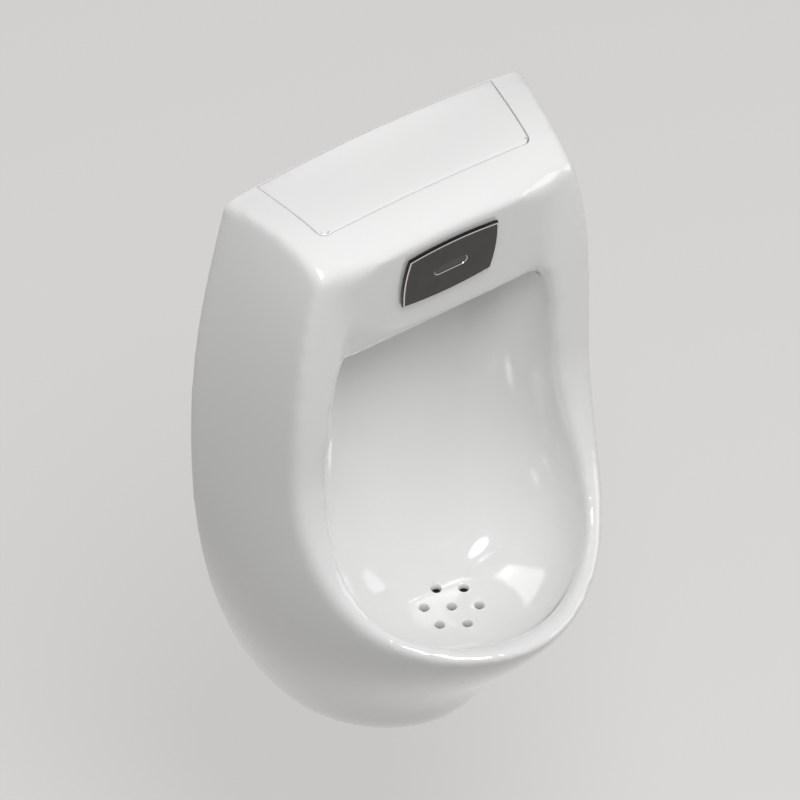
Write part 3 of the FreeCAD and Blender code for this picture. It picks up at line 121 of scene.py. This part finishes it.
class Wire:
    """A shader socket that takes part in Python's arithmetic."""

    def __init__(self, tree, socket):
        self.tree = tree
        self.socket = socket

    def _math(self, operation, *values):
        return add_node(self.tree, "ShaderNodeMath", {"operation": operation}, dict(enumerate(values)))

    def __add__(self, other):
        return self._math("ADD", self, other)

    def __mul__(self, other):
        return self._math("MULTIPLY", self, other)

    __radd__ = __add__
    __rmul__ = __mul__


def add_node(tree, kind, settings=None, inputs=None, output=0):
    """A shader node with its settings and inputs, as a wire from one of its outputs."""
    made = tree.nodes.new(kind)
    for name, value in (settings or {}).items():
        setattr(made, name, value)
    for key, value in (inputs or {}).items():
        if isinstance(value, Wire):
            tree.links.new(value.socket, made.inputs[key])
        else:
            made.inputs[key].default_value = value
    return Wire(tree, made.outputs[output])


def finish_of(name):
    """A new material, its tree and its Principled shader."""
    material = bpy.data.materials.new(name)
    material.use_nodes = True
    tree = material.node_tree
    shader = tree.nodes["Principled BSDF"]
    return material, tree, shader


def place_of(tree):
    return add_node(tree, "ShaderNodeTexCoord", output="Object")


def noise(tree, scale, detail=3.0, rough=0.5, stretch=(1, 1, 1)):
    """Smooth noise over the object's own coordinates, 0 to 1."""
    spot = add_node(tree, "ShaderNodeMapping", {}, {0: place_of(tree), 3: stretch})
    return add_node(tree, "ShaderNodeTexNoise", {}, {
        "Vector": spot, "Scale": scale, "Detail": detail, "Roughness": rough})


def blend_colours(tree, share, first, second):
    return add_node(tree, "ShaderNodeMix", {"data_type": "RGBA"},
                    {0: share, 6: first, 7: second}, output=2)


def bump(tree, height, strength, distance):
    return add_node(tree, "ShaderNodeBump", {}, {
        "Height": height, "Strength": strength, "Distance": distance})


def glaze():
    material, tree, shader = finish_of("white_glaze")
    clouds = noise(tree, 9.0)
    body = blend_colours(tree, clouds, GLAZE_WHITE, GLAZE_SHADE)
    tree.links.new(body.socket, shader.inputs["Base Color"])
    tree.links.new((noise(tree, 40.0) * 0.05 + GLAZE_ROUGHNESS).socket, shader.inputs["Roughness"])
    shader.inputs["Coat Weight"].default_value = 1.0
    shader.inputs["Coat Roughness"].default_value = GLAZE_COAT
    peel = noise(tree, 60.0, 2.0)
    tree.links.new(bump(tree, peel, 0.05, 0.0004).socket, shader.inputs["Normal"])
    return material


def clay_or_painted_shadow(name, colour, grain):
    """A matt, speckled and a little rough finish, for unglazed clay and for the painted shadow in the
    drain holes.
    """
    material, tree, shader = finish_of(name)
    specks = noise(tree, grain, 5.0, 0.7)
    darker = tuple(0.7 * c for c in colour[:3]) + (1,)
    tree.links.new(blend_colours(tree, specks, colour, darker).socket, shader.inputs["Base Color"])
    tree.links.new((specks * 0.2 + 0.7).socket, shader.inputs["Roughness"])
    tree.links.new(bump(tree, specks, 0.3, 0.0004).socket, shader.inputs["Normal"])
    return material


white_glaze = glaze()
bare_clay = clay_or_painted_shadow("bare_clay", BARE_CLAY, 220.0)
# painted shadow in the drain holes: a near-black colour on the clay finish
drain_painted_shadow = clay_or_painted_shadow("drain_painted_shadow", DRAIN_PAINTED_SHADOW, 400.0)


def merged_copy(name):
    """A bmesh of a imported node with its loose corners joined."""
    mesh = bmesh.new()
    mesh.from_mesh(nodes[name].data)
    bmesh.ops.remove_doubles(mesh, verts=mesh.verts, dist=1e-6)
    return mesh


def piece_from(mesh, name, material, smooth=True):
    """A new piece of the object from a bmesh."""
    data = bpy.data.meshes.new(name)
    mesh.to_mesh(data)
    mesh.free()
    piece = bpy.data.objects.new(name, data)
    bpy.context.scene.collection.objects.link(piece)
    data.materials.append(material)
    data.polygons.foreach_set("use_smooth", [smooth] * len(data.polygons))
    return piece


def settle(piece):
    """Make a piece's modifiers part of its mesh."""
    seen = piece.evaluated_get(bpy.context.evaluated_depsgraph_get())
    done = bpy.data.meshes.new_from_object(seen)
    piece.modifiers.clear()
    piece.data = done
    return piece


def in_plan(mesh, grow, raise_top, lower_foot):
    """Let a copy of the lid out all round, lift its top and drop its underside."""
    half = max(v.co.x for v in mesh.verts)
    front = -min(v.co.y for v in mesh.verts)
    wide, long_way = (half + grow) / half, (front / 2 + grow) / (front / 2)
    under = {v for f in mesh.faces if f.normal.z < -0.5 for v in f.verts}
    for v in mesh.verts:
        lift = -lower_foot if v in under else raise_top
        v.co = Vector((v.co.x * wide, -front / 2 + (v.co.y + front / 2) * long_way, v.co.z + lift))
    return mesh


def upright(mesh, place, radii, heights, sides=24):
    """A turned form: rings of given radii at given heights, closed at both ends."""
    rings = []
    for radius, level in zip(radii, heights):
        rings.append([mesh.verts.new((place[0] + radius * math.cos(math.tau * i / sides),
                                      place[1] + radius * math.sin(math.tau * i / sides), level))
                      for i in range(sides)])
    for low, high in zip(rings, rings[1:]):
        for i in range(sides):
            j = (i + 1) % sides
            mesh.faces.new((low[i], low[j], high[j], high[i]))
    mesh.faces.new(rings[0][::-1])
    mesh.faces.new(rings[-1])
    return rings[-1]


def join(mesh, *others):
    """Add other bmeshes to a bmesh, and free them."""
    for other in others:
        data = bpy.data.meshes.new("part")
        other.to_mesh(data)
        other.free()
        mesh.from_mesh(data)
        bpy.data.meshes.remove(data)
    return mesh


def carve(piece, mesh):
    """Cut a form out of a piece."""
    tool = piece_from(mesh, "tool", white_glaze)
    cut = piece.modifiers.new("cut", "BOOLEAN")
    cut.object = tool
    cut.operation = "DIFFERENCE"
    cut.solver = "EXACT"
    settle(piece)
    bpy.data.objects.remove(tool)


# the drain's holes and the lid's seat are filled while the casting is smoothed
casting = merged_copy("ceramic_body")
surface = BVHTree.FromBMesh(casting)
plugs, holes, shadow_tops = bmesh.new(), bmesh.new(), []
places = [(0.0, 0.0)] + [(math.cos(math.pi / 2 + math.pi / 3 * i), math.sin(math.pi / 2 + math.pi / 3 * i))
                         for i in range(6)]
for across, back in places:
    place = Vector((DRAIN_CIRCLE * across, DRAIN_CIRCLE * back - DRAIN_DEPTH, 0))
    rim = upright(plugs, place, (DRAIN_RADIUS * PLUG_SHARE,) * 2,
                  (DRAIN_HEIGHT - PLUG_DEPTH, DRAIN_HEIGHT))
    for corner in rim:
        away = (Vector((*corner.co.xy, 0)) - place) * BESIDE_SHARE
        over = place + away + Vector((0, 0, DRAIN_HEIGHT + LOOK_HEIGHT))
        corner.co.z = surface.ray_cast(over, Vector((0, 0, -1)))[0].z
    level = sum(corner.co.z for corner in rim) / len(rim)
    # the painted shadow starts this far under the floor, higher in the two back holes
    shadow_start = BACK_SHADOW_START if back + DARK_HOLE_SIDE * across > DARK_HOLE_FROM else FRONT_SHADOW_START
    upright(holes, place, (DRAIN_RADIUS,) * 3 + (DRAIN_FLARE, DRAIN_FLARE + HOLE_SPREAD),
            (level - HOLE_DEPTH, level - shadow_start, level - FLARE_DEPTH, level - FLARE_TOP,
             level + HOLE_RISE))
    shadow_tops.append(place + Vector((0, 0, level - shadow_start + 1e-5)))
join(casting, plugs, in_plan(merged_copy("top_lid"), LID_PLUG, 0.0, SEAT_PLAY + PLUG_SINK))

# its mirror image behind the wall keeps the back edge crisp through the smoothing
image = casting.copy()
bmesh.ops.scale(image, verts=image.verts, vec=(1, -1, 1))
bmesh.ops.translate(image, verts=image.verts, vec=(0, -BACK_OVERLAP, 0))
bmesh.ops.reverse_faces(image, faces=image.faces)
body = piece_from(join(casting, image), "glazed_body", white_glaze)
remesh = body.modifiers.new("casting", "REMESH")
remesh.mode = "VOXEL"
remesh.voxel_size = GLAZE_GRAIN
smooth = body.modifiers.new("glaze", "SMOOTH")
smooth.iterations = GLAZE_PASSES
smooth.factor = 0.5
settle(body)

# the glaze runs thick where the panel meets the frame, and draws those corners softer,
# the frame and the rim half as much, and the brow's two corners as much again
soft = body.vertex_groups.new(name="soft")
for vertex in body.data.vertices:
    x, depth, drop = abs(vertex.co.x), abs(vertex.co.y), CROWN_HEIGHT - vertex.co.z
    beside = 1 - abs(x - NICHE_HALF) / NICHE_REACH
    over = (BROW_DROP - drop) / NICHE_REACH
    niche = min(beside, over, (depth - NICHE_DEPTH) / NICHE_REACH * 2, 1)
    under = min(-over, (RIM_FOOT - drop) / NICHE_REACH, (depth - RIM_DEPTH) / NICHE_REACH, 1)
    corner = min(1 - abs(over), beside, (depth - RIM_DEPTH) / NICHE_REACH + 0.5, 1)
    weight = max(niche, RIM_SHARE * under, corner)
    if weight > 0:
        soft.add([vertex.index], weight, "REPLACE")
softer = body.modifiers.new("softer", "SMOOTH")
softer.iterations = SOFT_PASSES
softer.factor = 0.5
softer.vertex_group = "soft"
settle(body)
body.vertex_groups.clear()

front = bmesh.new()
front.from_mesh(body.data)
bmesh.ops.bisect_plane(front, geom=front.verts[:] + front.edges[:] + front.faces[:],
                       plane_co=(0, -BACK_OVERLAP, 0), plane_no=(0, 1, 0), clear_outer=True)
back_edge = [e for e in front.edges if e.is_boundary]
filled = bmesh.ops.triangle_fill(front, use_beauty=True, edges=back_edge)["geom"]
for face in filled:
    if isinstance(face, bmesh.types.BMFace):
        face.material_index = 1
bmesh.ops.recalc_face_normals(front, faces=front.faces)
front.to_mesh(body.data)
front.free()
body.data.materials.append(bare_clay)
body.data.materials.append(drain_painted_shadow)
carve(body, in_plan(merged_copy("top_lid"), LID_GAP, SEAT_TOP, SEAT_PLAY))
carve(body, in_plan(merged_copy("top_lid"), -LID_LEDGE, WELL_TOP, WELL_DEPTH))
carve(body, holes)
# painted shadow: the hole walls below each start get the near-black finish
for face in body.data.polygons:
    for place in shadow_tops:
        away = face.center - place
        if away.xy.length < DRAIN_RADIUS * PAINTED_SHADOW_SHARE and -PAINTED_SHADOW_DEPTH < away.z < 0:
            face.material_index = 2
glaze_edge = body.modifiers.new("glaze_edge", "BEVEL")
glaze_edge.width = GLAZE_EDGE
glaze_edge.segments = 2
glaze_edge.limit_method = "ANGLE"
glaze_edge.angle_limit = CUT_ANGLE
settle(body)
body.data.polygons.foreach_set("use_smooth", [True] * len(body.data.polygons))
body.data.set_sharp_from_angle(angle=CREASE_ANGLE)
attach(body, "root")
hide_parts("ceramic_body")


# ------------------------------------------------------------------------- the lid
# The lid keeps the form of its solid, under the same glaze as the body, with a small
# round along each edge.

LID_EDGE = 0.0012           # the round along the lid's edges
LID_ANGLE = math.radians(40)    # ... and how sharp such an edge is

lid = piece_from(merged_copy("top_lid"), "glazed_lid", white_glaze)
lid_edge = lid.modifiers.new("edge", "BEVEL")
lid_edge.width = LID_EDGE
lid_edge.segments = 3
lid_edge.limit_method = "ANGLE"
lid_edge.angle_limit = LID_ANGLE
settle(lid)
lid.data.polygons.foreach_set("use_smooth", [True] * len(lid.data.polygons))
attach(lid, "lid")
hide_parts("top_lid")


# ------------------------------------------------------------------------ the eye
# A black chromed plate with a thin bright line round its front, a bright lip round its
# slot, and a smoked infrared window behind the slot.

PLATE_BLACK = (0.016, 0.013, 0.014, 1)
PLATE_SHEEN = (0.045, 0.036, 0.036, 1)
RIM_GREY = (0.80, 0.78, 0.78, 1)
RIM_SHADE = (0.68, 0.66, 0.66, 1)
SLOT_REACH = 0.022          # the slot's walls lie nearer the plate's middle than this
FRONT_SHARE = 0.95          # a face that turns less than this to the front is a side
LINE_WIDTH = 0.0006         # the polished line along the plate's edges


def metal_plate(name, first, second, rough, metallic, coat):
    material, tree, shader = finish_of(name)
    worn = noise(tree, 90.0, 4.0)
    tree.links.new(blend_colours(tree, worn, first, second).socket, shader.inputs["Base Color"])
    tree.links.new((worn * 0.06 + rough).socket, shader.inputs["Roughness"])
    shader.inputs["Metallic"].default_value = metallic
    shader.inputs["Coat Weight"].default_value = coat
    shader.inputs["Coat Roughness"].default_value = 0.03
    return material


plate_black = metal_plate("black_chrome", PLATE_BLACK, PLATE_SHEEN, 0.06, 0.9, 0.15)
plate_rim = metal_plate("polished_rim", RIM_GREY, RIM_SHADE, 0.10, 1.0, 0.0)
plate_mesh = merged_copy("sensor_plate")
plate_mesh.normal_update()
largest = max(plate_mesh.faces, key=lambda f: f.calc_area() if f.normal.y < -0.5 else 0)
front_normal = largest.normal.copy()
low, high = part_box("sensor_plate")
plate_middle = (Vector(low) + Vector(high)) / 2
for face in plate_mesh.faces:
    in_slot = (face.calc_center_median() - plate_middle).length < SLOT_REACH
    face.material_index = int(in_slot and abs(face.normal.dot(front_normal)) < 0.5)
weights = plate_mesh.edges.layers.float.new("bevel_weight_edge")
for edge in plate_mesh.edges:
    flat = [face for face in edge.link_faces if face.normal.dot(front_normal) > FRONT_SHARE]
    edge[weights] = float(len(flat) == 1)
plate = piece_from(plate_mesh, "eye_plate", plate_black, smooth=False)
plate.data.materials.append(plate_rim)
lip = plate.modifiers.new("lip", "BEVEL")
lip.width = LINE_WIDTH
lip.segments = 2
lip.material = 1
lip.limit_method = "WEIGHT"
settle(plate)
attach(plate, "root")
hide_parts("sensor_plate")


# ------------------------------------------------------------- the fittings
# The pieces in the chamber and behind the bowl keep their CAD forms, each with a
# finish of its own.

def plain_finish(name, colour, roughness, metallic, grain, depth):
    """A finish with a little uneven colour, gloss and surface of its own."""
    material, tree, shader = finish_of(name)
    uneven = noise(tree, grain, 4.0, 0.6)
    darker = tuple(0.8 * c for c in colour[:3]) + (1,)
    tree.links.new(blend_colours(tree, uneven, colour, darker).socket, shader.inputs["Base Color"])
    tree.links.new((uneven * 0.15 + roughness).socket, shader.inputs["Roughness"])
    shader.inputs["Metallic"].default_value = metallic
    tree.links.new(bump(tree, uneven, 0.15, depth).socket, shader.inputs["Normal"])
    return material


FINISHES = {
    "sensor_black": plate_black,
    "window_dark": plain_finish("smoked_window", (0.02, 0.008, 0.01, 1), 0.05, 0.0, 40, 0.0001),
    "rubber": plain_finish("black_rubber", (0.03, 0.03, 0.03, 1), 0.6, 0.0, 300, 0.0003),
    "black_plastic": plain_finish("black_plastic", (0.045, 0.045, 0.05, 1), 0.4, 0.0, 500, 0.0002),
    "board_green": plain_finish("circuit_board", (0.02, 0.16, 0.07, 1), 0.3, 0.0, 200, 0.0001),
    "diode_clear": plain_finish("clear_resin", (0.3, 0.34, 0.45, 1), 0.1, 0.0, 100, 0.0001),
    "steel": plain_finish("stainless_steel", (0.6, 0.6, 0.6, 1), 0.25, 1.0, 250, 0.0002),
    "cell_wrap": plain_finish("cell_sleeve", (0.1, 0.12, 0.14, 1), 0.3, 0.3, 100, 0.0001),
    "brass": plain_finish("turned_brass", (0.7, 0.5, 0.22, 1), 0.2, 1.0, 250, 0.0002),
    "chrome": plain_finish("bright_chrome", (0.82, 0.82, 0.83, 1), 0.04, 1.0, 60, 0.0001),
    "lever_red": plain_finish("red_dip", (0.5, 0.03, 0.02, 1), 0.35, 0.0, 150, 0.0002),
    "coil_black": plain_finish("coil_moulding", (0.03, 0.03, 0.03, 1), 0.45, 0.0, 400, 0.0002),
    "cable_grey": plain_finish("lead_sheath", (0.12, 0.12, 0.125, 1), 0.45, 0.0, 300, 0.0001),
    "glazed_ceramic": white_glaze,
}
for part in frame["record"]["subparts"]:
    thing = nodes[part["node"]]
    thing.data.materials.clear()
    thing.data.materials.append(FINISHES[part["material_slot"]])


# -------------------------------------------------------------- floor, light, camera
# A pale floor well under the object, broad soft lamps and the photograph's view.

FLOOR_COLOUR = (0.34, 0.335, 0.33, 1)
FLOOR_GLOW = 0.42           # what makes the floor pale where it is seen
FLOOR_HALF = 30.0
FLOOR_DROP = 0.5            # how far under the object the floor lies
WORLD_LIGHT = 0.40


def floor():
    mesh = bmesh.new()
    bmesh.ops.create_grid(mesh, x_segments=1, y_segments=1, size=FLOOR_HALF)
    bmesh.ops.translate(mesh, verts=mesh.verts, vec=(0, 0, cad_box[0][2] - FLOOR_DROP))
    material, tree, shader = finish_of("pale_floor")
    shader.inputs["Base Color"].default_value = FLOOR_COLOUR
    shader.inputs["Roughness"].default_value = 0.9
    # seen directly or in a reflection the floor is paler, and it throws no more light
    seen = [add_node(tree, "ShaderNodeLightPath", output=kind)
            for kind in ("Is Camera Ray", "Is Glossy Ray", "Is Transmission Ray")]
    glow = (seen[0] + seen[1] + seen[2]) * FLOOR_GLOW
    tree.links.new(glow.socket, shader.inputs["Emission Strength"])
    shader.inputs["Emission Color"].default_value = (1, 0.99, 0.97, 1)
    ground = piece_from(mesh, "floor", material)


floor()


def lamp(name, place, aim, size, power):
    data = bpy.data.lights.new(name, "AREA")
    data.shape = "DISK"
    data.size = size
    data.energy = power
    thing = bpy.data.objects.new(name, data)
    bpy.context.scene.collection.objects.link(thing)
    thing.location = place
    thing.rotation_euler = (Vector(aim) - Vector(place)).to_track_quat("-Z", "Y").to_euler()


lamp("key", (-0.45, -1.25, 2.3), (0, -0.1, -0.05), 1.0, 46)
lamp("fill", (2.2, -1.6, 0.6), (0, -0.1, -0.1), 1.8, 12)
world = bpy.data.worlds.new("studio")
bpy.context.scene.world = world
world.use_nodes = True
world.node_tree.nodes["Background"].inputs[0].default_value = (1, 1, 1, 1)
world.node_tree.nodes["Background"].inputs[1].default_value = WORLD_LIGHT

TURN, DIP, ROLL = math.radians(34.5), math.radians(46.0), math.radians(0.86)
FOCUS_PX = 6500.0           # the focal length in pixels of the photograph's frame
PX_PER_MM = 1.208
CROWN_PX = (374.0, 132.5)   # where the crown's datum point shows in the photograph
FRAME_PX = 800.0

ahead = Vector((math.sin(TURN) * math.cos(DIP), math.cos(TURN) * math.cos(DIP), -math.sin(DIP)))
level_right = Vector((math.cos(TURN), -math.sin(TURN), 0))
level_up = level_right.cross(ahead)
right = level_right * math.cos(ROLL) + level_up * math.sin(ROLL)
up = level_up * math.cos(ROLL) - level_right * math.sin(ROLL)
distance = FOCUS_PX / PX_PER_MM / 1000
aside = (CROWN_PX[0] - FRAME_PX / 2) / FOCUS_PX * distance
above = (FRAME_PX / 2 - CROWN_PX[1]) / FOCUS_PX * distance
eye = Vector((0, 0, CROWN_HEIGHT)) - right * aside - up * above - ahead * distance
lens = bpy.data.cameras.new("camera")
lens.sensor_width = 36.0
lens.lens = FOCUS_PX / FRAME_PX * lens.sensor_width
camera = bpy.data.objects.new("camera", lens)
bpy.context.scene.collection.objects.link(camera)
camera.matrix_world = Matrix((
    (right.x, up.x, -ahead.x, eye.x), (right.y, up.y, -ahead.y, eye.y),
    (right.z, up.z, -ahead.z, eye.z), (0, 0, 0, 1)))
bpy.context.scene.camera = camera
bpy.context.scene.view_settings.view_transform = "Standard"
